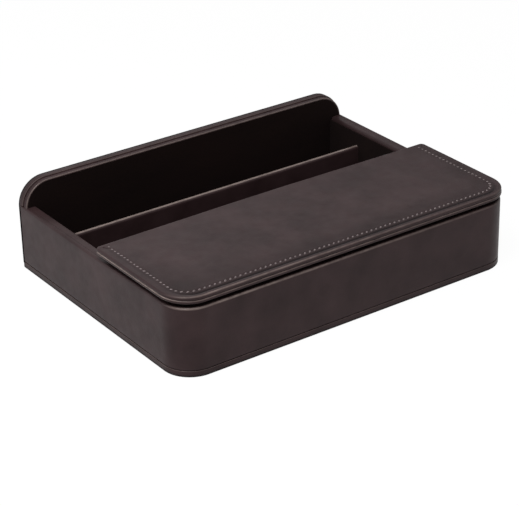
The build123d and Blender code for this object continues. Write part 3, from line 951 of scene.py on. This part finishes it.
for face_name in ("front", "rear"):
    node = f"partition_{face_name}_lining"
    face_card = extent(node)
    low, high = (face_card.y1, face_card.y0) if face_name == "front" else (face_card.y0, face_card.y1)
    away = math.copysign(1.0, high - low)
    face_slab = slab_section(low, high, *(away * size for size in THIN_CARD_ROUND))
    finish_piece(card(f"partition_{face_name}_suede", (*face_card[:2], *face_card[4:]), [0.2] * 4, face_slab,
                      upright_face, suede), "box", "suede", node)


def merged(name, pieces, material):
    """Joins finished meshes, each closed in itself, into one piece."""
    mesh = bmesh.new()
    mesh.verts.layers.float.new("wear_and_shading")
    for piece in pieces:
        mesh.from_mesh(piece.data)
        bpy.data.objects.remove(piece)
    return plain_object(name, mesh, material)


def board_section(thick, z0, z1, top_round):
    """The section of a leather-covered board whose two top edges are rounded."""
    # The board's rounded edges take the paler edge colour: partly stretched grain, partly a painted
    # highlight.
    return cross_section([(0, z0), (thick, z0), (thick, z1), (0, z1)], [0, 0, top_round, top_round])


def cap_end(side):
    """The leather turned down over one end of the partition, above the rim."""
    rounds = (-side * size for size in THIN_CARD_ROUND)
    slab = slab_section(side * inner_x, side * (inner_x + END_TURN), *rounds, END_RIM)
    return card(f"cap_end_{side}", (*partition_cap[2:4], rim_top, partition_cap.z1 - END_DROP),
                [0.2, 0.2, CAP_ROUND, CAP_ROUND], slab, side_face, cover_calf, None, END_STEP)


cap_thick = partition_cap.y1 - partition_cap.y0
cap_profile = board_section(cap_thick, partition_cap.z0, partition_cap.z1, CAP_ROUND)
cap_cuts = [partition_cap.x0, *(x for leaf in leaves for x in leaf[:2]), partition_cap.x1]
cap_bars = [bar(f"cap_bar_{x0:.0f}", (x0, partition_cap.y0), (x1, partition_cap.y0), cap_profile, cover_calf)
            for x0, x1 in zip(cap_cuts[::2], cap_cuts[1::2])]
partition_leather = merged("partition_leather", cap_bars + [cap_end(-1), cap_end(1)], cover_calf)
finish_piece(partition_leather, "box", "cover_leather", "partition_cap")

# %% [markdown]
# The neck boards are covered in thinner leather and stand above the rim. The lid rests on them,
# which leaves the dark line between the lid and the box.

# %% The neck
NECK_ROUND = 0.9
NECK_WOBBLE = 0.04
front_neck = extent("front_neck")
neck_y = front_y + wall_thickness
neck_rear = extent("right_neck").y1
neck_thick = front_neck.y1 - neck_y
for node, start, end in (("front_neck", (-inner_x, neck_y), (inner_x, neck_y)),
                         ("right_neck", (inner_x, front_neck.y1), (inner_x, neck_rear)),
                         ("left_neck", (-inner_x, neck_rear), (-inner_x, front_neck.y1))):
    board = extent(node)
    profile = board_section(neck_thick, board.z0, board.z1, NECK_ROUND)
    finish_piece(bar(node + "_leather", start, end, profile, neck_calf, NECK_WOBBLE),
                 "box", "neck_leather", node)

# %% [markdown]
# The lid is what the eye goes to. It is a board with a thin foam sheet on top, in one piece of
# leather that is turned under. Its edge is in two layers with a groove between them: the lower one
# is the turned-under leather on the board, and the upper one is the leather over the foam. Above
# the edge comes a bead, then a groove, then the stitched valley, then the soft field, which rises a
# little to the middle. At the sides the leather rolls over in a wide curve with one bright seam
# line, a painted highlight, at the front in a tight one. The bead at the front carries a painted
# highlight, strongest at the left corner, the lower layer's round at the sides another, and the
# grooves are painted darker, as painted shade. The border round the stitches is painted darker,
# more towards the front.
# The rear edge has no stitches, so the foam lifts it a little along its middle.
#
# This is a plate: its section runs from the inner skin, round the turned-under strip and up over
# the bead, and the field is drawn in to the middle line with a height that comes from a formula.
# A cloth simulation would make the same shallow crown, but not the crisp bead beside the stitches.

# %% Sizes of the lid's border
# Each pair holds the front's value and the side's.
BEAD_ACROSS = (1.3, 1.7)
BEAD_DROP = (1.2, 1.4)
BEAD_STEPS = 8
BEAD_LINE = 1.6
# Strength of the bead's painted highlight at the left and right ends.
BEAD_HIGHLIGHT = (1.35, 0.3)
GROOVE_INSET = (5.1, 5.9)
GROOVE_WIDE = 1.2
GROOVE_DROP = (0.9, 0.18)
STITCH_INSET = 8.4
STITCH_WIDE = 1.2
STITCH_DROP = (0.35, 0.175)
FIELD_INSET = 13.0
FIELD_START = 9.0
FIELD_RUN = 30.0
FIELD_REACH = 40.0
FIELD_RISE = 0.20
FIELD_RINGS = 15
lid = extent("lid_cover")
lid_core = extent("lid_board")
lid_middle = (lid.y0 + lid.y1) / 2


def mix(pair, share):
    """A value between the two of a pair."""
    return pair[0] + (pair[1] - pair[0]) * share


def dip(inset, at, wide, depth):
    """A rounded valley in the lid's top."""
    return depth * math.exp(-((inset - at) / wide) ** 2)


def lid_top(inset, side, border=1.0):
    """The height of the lid's top at a distance from its edge; border is 0 where nothing is sewn."""
    height = lid.z1 - FIELD_RISE + FIELD_RISE * ease((inset - FIELD_START) / FIELD_RUN)
    height -= dip(inset, mix(GROOVE_INSET, side), GROOVE_WIDE, border * mix(GROOVE_DROP, side))
    return height - dip(inset, STITCH_INSET, STITCH_WIDE, border * mix(STITCH_DROP, side))


print(f"the stitches lie {lid.z1 - lid_top(STITCH_INSET, 0.0):.2f} mm under the lid's highest point")

# %% [markdown]
# The edge's two layers and the groove between them are points of the section, each with its own
# wear. Foam under glued leather is never quite even, so a point of the lid is also moved a little
# when it is put in place: by a tenth of a millimetre of soft unevenness, and up and out along the
# middle of the rear edge.

# %% The lid's padded leather
LID_CORNER_RADIUS = 22.6
LID_REAR_RADIUS = 4.0
LID_STEP = 3.0
FIELD_STEP = 3.5
LAYER_ROUND = 0.9
LAYER_STEP = 0.25
LOWER_LAYER = 2.5
# Points of the groove between the layers; the third number is its share of painted shade.
LAYER_GROOVE = ((0.95, 0.08, 1.0), (LAYER_ROUND, 0.22, 1.0), (LAYER_STEP + 0.08, 0.42, 0.3),
                (LAYER_STEP, 0.65, 0.0))
SKIN_OVER_BOARD = 0.5
SKIN_BEVEL = (0.6, 0.4)
EDGE_SAG = 0.7
# Painted highlights on the lid's edge and painted shade in its grooves; the border constants make the
# stitched border darker.
LOW_LAYER_HIGHLIGHT = 0.5
SEAM_HIGHLIGHT = (0.9, 1.7)
REAR_HIGHLIGHT = 0.2
DARK_GROOVE_WIDE = 1.2 * GROOVE_WIDE
DARK_GROOVE = (1.0, 0.2)
BORDER_DARK = 0.3
BORDER_DARK_FADE = 2.4
BORDER_DARK_RUN = 75.0
BORDER_DARK_START = 0.2
BORDER_DARK_INSET = 6.0
BORDER_DARK_SOFT = 3.0
REAR_RISE = 0.7
REAR_BULGE = 0.4
SOFT_HIGH = 0.10
SOFT_MM = 26.0
SOFT_START = 1.5
SETTLED = 0.05
window = extent("lid_lining")
lid_turn = lid.x1 - window.x1


def lid_place(u, v, w):
    """Puts a lid point in place; the foam lifts and pushes out the middle of the rear edge."""
    middle = math.cos(math.pi * u / (2 * lid.x1)) ** 2
    rearward = ease((v - lid_middle) / (lid.y1 - lid_middle))
    raised = (w - lid.z0) / (lid.z1 - lid.z0)
    soft = SOFT_HIGH * noise.noise(Vector((u, v, 0.0)) / SOFT_MM) * ease((w - lid_core.z1) / SOFT_START)
    swell = middle * rearward * raised
    return Vector((u, v + REAR_BULGE * swell, w + REAR_RISE * swell + soft - SETTLED * raised))


def lid_section(station):
    """Inner skin, turned-under strip, two-layer edge, bead and the stitched border."""
    side = station.normal.x ** 2
    border = 1.0 - ease(2 * station.normal.y)
    across, drop = mix(BEAD_ACROSS, side), mix(BEAD_DROP, side)
    inside, shelf = lid_core.z1 + SKIN_OVER_BOARD, lid_core.z0
    low = lid.z0 - EDGE_SAG * ease(-station.normal.y) ** 2
    seam = low + LOWER_LAYER
    # The border round the stitches is painted darker, more towards the front.
    border_dark = BORDER_DARK * border * ease((lid.y1 - station.point.y) / BORDER_DARK_RUN - BORDER_DARK_START)
    # The bead's painted highlight: on the front, strongest at the left, weak along the rear.
    rubbed_and_lit = mix((REAR_HIGHLIGHT, 1.0), border) * brighter_to_the_left(station.point.x, BEAD_HIGHLIGHT) * (1 - side)
    points = [(FIELD_INSET, inside, 0), (across + SKIN_BEVEL[0], inside, 0),
              (leather, lid_core.z1 - SKIN_BEVEL[1], 0), (leather, shelf, 0), (lid_turn, shelf, 0),
              (lid_turn, lid.z0, 0), (lid_turn / 2, lid.z0, 0)]
    # Painted highlights on the lower layer's round, at the sides, and on the seam's round.
    points += quarter_round(0.0, low, LAYER_ROUND, True, LOW_LAYER_HIGHLIGHT * side)
    points += quarter_round(0.0, seam, LAYER_ROUND, False, mix(SEAM_HIGHLIGHT, side) * border)
    # Painted shade in the groove between the layers, at the front.
    points += [(inset, seam + rise, (side - 1.0) * darkened) for inset, rise, darkened in LAYER_GROOVE]
    for k in range(BEAD_STEPS + 1):
        turn = math.pi / 2 * k / BEAD_STEPS
        inset = LAYER_STEP + across * (1 - math.cos(turn))
        points.append((inset, lid_top(inset, side, border) - drop * (1 - math.sin(turn)),
                       rubbed_and_lit * math.sin(math.pi * (k / BEAD_STEPS) ** BEAD_LINE)))
    first = LAYER_STEP + across
    for k in range(1, FIELD_RINGS + 1):
        inset = first + (FIELD_INSET - first) * k / FIELD_RINGS
        # Painted shade in the groove above the bead, and the darker border.
        darkened = dip(inset, mix(GROOVE_INSET, side), DARK_GROOVE_WIDE, border * mix(DARK_GROOVE, side))
        darkened += border_dark * ease((inset - BORDER_DARK_INSET) / BORDER_DARK_SOFT)
        points.append((inset, lid_top(inset, side, border), -darkened))
    return points


lid_outline = closed_plan(lid.x1, lid.y0, lid.y1, LID_CORNER_RADIUS, LID_REAR_RADIUS, LID_STEP)
lid_whole = plate("lid_whole", lid_outline, lid_section, lid_place, cover_calf,
                  (lid.x1 - (lid.y1 - lid.y0) / 2, 0.0, lid_middle), FIELD_STEP,
                  height_at=lambda share: lid_top(FIELD_INSET + FIELD_REACH * share, 0.0), fade=BORDER_DARK_FADE)
print("points in the lid's section:", len(lid_section(lid_outline[0])))

# %% [markdown]
# The turned-under leather is cut away at the two hinges, so that their leaves lie on the board. A
# Boolean modifier takes two boxes out of the skin, and its result is kept as a plain mesh.

# %% Notches for the hinges
def solid_mesh(name, piece):
    """A piece's mesh with its modifiers worked out, on a new object; the old one is removed."""
    graph = bpy.context.evaluated_depsgraph_get()
    data = bpy.data.meshes.new_from_object(piece.evaluated_get(graph))
    data.name = name
    bpy.data.objects.remove(piece)
    return put(name, data)


def without_notches(name, piece, boxes):
    """A copy of a piece with boxes cut out of it."""
    mesh = bmesh.new()
    for box in boxes:
        size = Vector((box.x1 - box.x0, box.y1 - box.y0, box.z1 - box.z0)) / MILLIMETRES
        middle = Vector((box.x0 + box.x1, box.y0 + box.y1, box.z0 + box.z1)) / (2 * MILLIMETRES)
        bmesh.ops.create_cube(mesh, matrix=Matrix.Translation(middle) @ Matrix.Diagonal((*size, 1)))
    cutter = plain_object("cutter", mesh, piece.data.materials[0])
    cut = piece.modifiers.new("notches", "BOOLEAN")
    cut.operation = "DIFFERENCE"
    cut.solver = "EXACT"
    cut.object = cutter
    made = solid_mesh(name, piece)
    bpy.data.objects.remove(cutter)
    return made


plate_front = min(extent(f"hinge_lid_leaf_{side_name}").y0 for side_name in ("left", "right"))
notches = [Extent(leaf.x0, leaf.x1, plate_front, lid.y1 + 1, lid.z0 - 1, lid_core.z0) for leaf in leaves]
lid_leather = without_notches("lid_leather", lid_whole, notches)
finish_piece(lid_leather, "lid", "cover_leather", "lid_cover")

# %% [markdown]
# Under the leather lies a thin sheet of foam, which nobody sees but which gives the lid its give,
# and underneath the lid a suede card fills the frame of turned-under leather.

# %% The lid's foam and suede
WINDOW_CORNER = 8.6
SOFT_ROUND = 0.3
FOAM_SIDE_GAP = 4.0
FOAM_END_GAP = 2.0
FOAM_CORNER = 18.0
FOAM_STEP = 6.0
pad = extent("lid_pad")
foam_frame = (pad.x0 + FOAM_SIDE_GAP, pad.x1 - FOAM_SIDE_GAP, pad.y0 + FOAM_END_GAP, pad.y1 - FOAM_END_GAP)
foam_sheet = card("foam_sheet", foam_frame, [FOAM_CORNER, FOAM_CORNER, FOAM_END_GAP, FOAM_END_GAP],
                  slab_section(pad.z0, pad.z1 - GLUED_ROUND, GLUED_ROUND, SOFT_ROUND), lid_place, foam,
                  spacing=FOAM_STEP)
finish_piece(foam_sheet, "lid", "foam", "lid_pad")

lid_suede = card("lid_suede", window[:4], [WINDOW_CORNER, WINDOW_CORNER, 0.5, 0.5],
                 slab_section(window.z1, window.z0, -GLUED_ROUND, -SOFT_ROUND), in_plan, suede)
finish_piece(lid_suede, "lid", "suede", "lid_lining")

# %% [markdown]
# The stitches are what a sewing machine leaves: thread that dips into the leather every few
# millimetres, through a slit that the needle has cut. A row of some hundred equal things along a
# line is work for Geometry Nodes. The line is a curve that lies in the lid's stitched valley. The
# tree measures it off in stitches and puts a small thread capsule on each point, turned along the
# line and slanted as a lockstitch is. A dark flattened ball between two capsules stands for the
# slit; its dark colour is painted shade, where the hole holds only shade. Each pair varies slightly
# with a fixed seed. At the sides the thread is pulled in deeper, so less of it shows. The evaluated
# result is kept as a plain mesh.

# %% The tree that sews
STITCH_SIZES = {"Pitch": 4.1, "Stitch Length": 2.4, "Thread Width": 1.45,
                "Slit Length": 3.0, "Slit Width": 1.6, "Slit Height": 0.7}
STITCH_SLANT = math.radians(38)
SWAY = 0.06
THINNEST, THICKEST = 0.92, 1.06
SLIT_SUNK = -0.62


def stitch_tree():
    """Measures a curve off in stitches and lays a thread capsule and a dark slit ball, painted shade, on each
    point.
    """
    tree = bpy.data.node_groups.new("stitch_row", "GeometryNodeTree")
    sockets = [("Line", "Geometry"), *((name, "Float") for name in (*STITCH_SIZES, "Slant")),
               ("Seed", "Int"), ("Thread", "Material"), ("Slit Shade", "Material")]
    for name, kind in sockets:
        tree.interface.new_socket(name, in_out="INPUT", socket_type="NodeSocket" + kind)
    tree.interface.new_socket("Stitches", in_out="OUTPUT", socket_type="NodeSocketGeometry")
    given = add(tree, "NodeGroupInput").outputs
    spots = add(tree, "GeometryNodeCurveToPoints", {"Curve": given["Line"], "Length": given["Pitch"]},
                mode="LENGTH").outputs
    ball = add(tree, "GeometryNodeMeshUVSphere", {"Segments": 10, "Rings": 6, "Radius": 0.5}).outputs["Mesh"]
    size = add(tree, "ShaderNodeCombineXYZ", {
        "X": given["Stitch Length"], "Y": given["Thread Width"], "Z": given["Thread Width"]})
    capsule = add(tree, "GeometryNodeTransform", {"Geometry": ball, "Scale": size.outputs[0]})
    hole_size = add(tree, "ShaderNodeCombineXYZ", {
        "X": given["Slit Width"], "Y": given["Slit Length"], "Z": given["Slit Height"]})
    half_pitch = add(tree, "ShaderNodeMath", {0: given["Pitch"], 1: 0.5}, operation="MULTIPLY")
    lowered = add(tree, "ShaderNodeMath", {0: given["Slit Height"], 1: SLIT_SUNK}, operation="MULTIPLY")
    beside = add(tree, "ShaderNodeCombineXYZ", {"X": half_pitch.outputs[0], "Z": lowered.outputs[0]})
    hole = add(tree, "GeometryNodeTransform", {
        "Geometry": ball, "Scale": hole_size.outputs[0], "Translation": beside.outputs[0]})
    marked = add(tree, "GeometryNodeStoreNamedAttribute", {
        "Geometry": hole.outputs[0], "Name": "slit", "Value": 1.0}, data_type="FLOAT", domain="FACE")
    pair = add(tree, "GeometryNodeJoinGeometry")
    for part in (capsule, marked):
        tree.links.new(part.outputs[0], pair.inputs[0])
    along = add(tree, "FunctionNodeAlignRotationToVector", {"Vector": spots["Tangent"]}, axis="X")
    sway = add(tree, "FunctionNodeRandomValue", {2: -SWAY, 3: SWAY, "Seed": given["Seed"]},
               data_type="FLOAT")
    slant = add(tree, "ShaderNodeMath", {0: given["Slant"], 1: sway.outputs[1]}, operation="ADD")
    turned = add(tree, "ShaderNodeCombineXYZ", {"Z": slant.outputs[0]})
    turn = add(tree, "FunctionNodeRotateRotation", {
        "Rotation": along.outputs[0], "Rotate By": turned.outputs[0]}, rotation_space="LOCAL")
    grow = add(tree, "FunctionNodeRandomValue", {2: THINNEST, 3: THICKEST, "Seed": given["Seed"]},
               data_type="FLOAT")
    laid = add(tree, "GeometryNodeInstanceOnPoints", {
        "Points": spots["Points"], "Instance": pair.outputs[0], "Rotation": turn.outputs[0],
        "Scale": grow.outputs[1]})
    real = add(tree, "GeometryNodeRealizeInstances", {"Geometry": laid.outputs[0]})
    smooth = add(tree, "GeometryNodeSetShadeSmooth", {"Geometry": real.outputs[0]})
    dressed = add(tree, "GeometryNodeSetMaterial", {
        "Geometry": smooth.outputs[0], "Material": given["Thread"]})
    # The slit balls take the dark leather: painted shade in the needle holes.
    slit = add(tree, "GeometryNodeInputNamedAttribute", {"Name": "slit"}, data_type="FLOAT")
    shaded_slits = add(tree, "GeometryNodeSetMaterial", {
        "Geometry": dressed.outputs[0], "Selection": slit.outputs[0], "Material": given["Slit Shade"]})
    add(tree, "NodeGroupOutput", {"Stitches": shaded_slits.outputs[0]})
    return tree


print("the needle goes in every", STITCH_SIZES["Pitch"], "mm")

# %% [markdown]
# The curve follows the lid's left side, front and right side, and stops short of the rear edge.
# Each input of the modifier is set by its socket's identifier before the row is worked out.

# %% Sew the row
ROW_END = 6.0
STITCH_RAISE = 0.2
SIDE_SINK = 0.55
SEED = 7


def stitch_point(station):
    """A point of the stitched line, in metres, on the valley's floor."""
    spot = station.step(STITCH_INSET)
    side = station.normal.x ** 2
    height = lid_top(STITCH_INSET, side) + STITCH_RAISE - SIDE_SINK * side
    return lid_place(spot.x, spot.y, height) / MILLIMETRES


curve = bpy.data.curves.new("stitch_line", "CURVE")
curve.dimensions = "3D"
spline = curve.splines.new("POLY")
line = [stitch_point(s) for s in open_plan(lid.x1, lid.y1 - ROW_END, lid.y0, LID_CORNER_RADIUS, LID_STEP)]
spline.points.add(len(line) - 1)
for point, place in zip(spline.points, line):
    point.co = (*place, 1.0)
row = put("stitch_line", curve)
sewing = row.modifiers.new("stitches", "NODES")
sewing.node_group = stitch_tree()
given_values = {name: size / MILLIMETRES for name, size in STITCH_SIZES.items()}
given_values.update({"Slant": STITCH_SLANT, "Seed": SEED, "Thread": thread, "Slit Shade": neck_calf})
for socket in sewing.node_group.interface.items_tree:
    if socket.name in given_values:
        sewing[socket.identifier] = given_values[socket.name]
finish_piece(solid_mesh("lid_stitches", row), "lid", "cover_leather")

# %% [markdown]
# The boards, hinges, pins, screws and brads keep their solid shapes and only get their real
# finishes. Most of them are hidden inside the box, and show when it is taken apart.

# %% Finishes of the frame's own pieces
FINISHES = {
    fibreboard: ["base_board", "left_wall_board", "right_wall_board", "front_wall_board", "corner_post_left",
                 "corner_post_right", "back_board", "back_infill_card", "back_inner_board", "divider_board",
                 "partition_board", "lid_board"],
    bronze_plate: ["hinge_body_leaf_left", "hinge_body_leaf_right", "hinge_lid_leaf_left",
                   "hinge_lid_leaf_right", "hinge_pin_left", "hinge_pin_right", "body_hinge_screws",
                   "lid_hinge_screws"],
    drawn_wire: ["back_brads", "base_brads"],
}
for material, nodes in FINISHES.items():
    for node in nodes:
        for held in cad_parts[node].material_slots:
            held.material = material
    print(material.name, "on", len(nodes), "nodes")
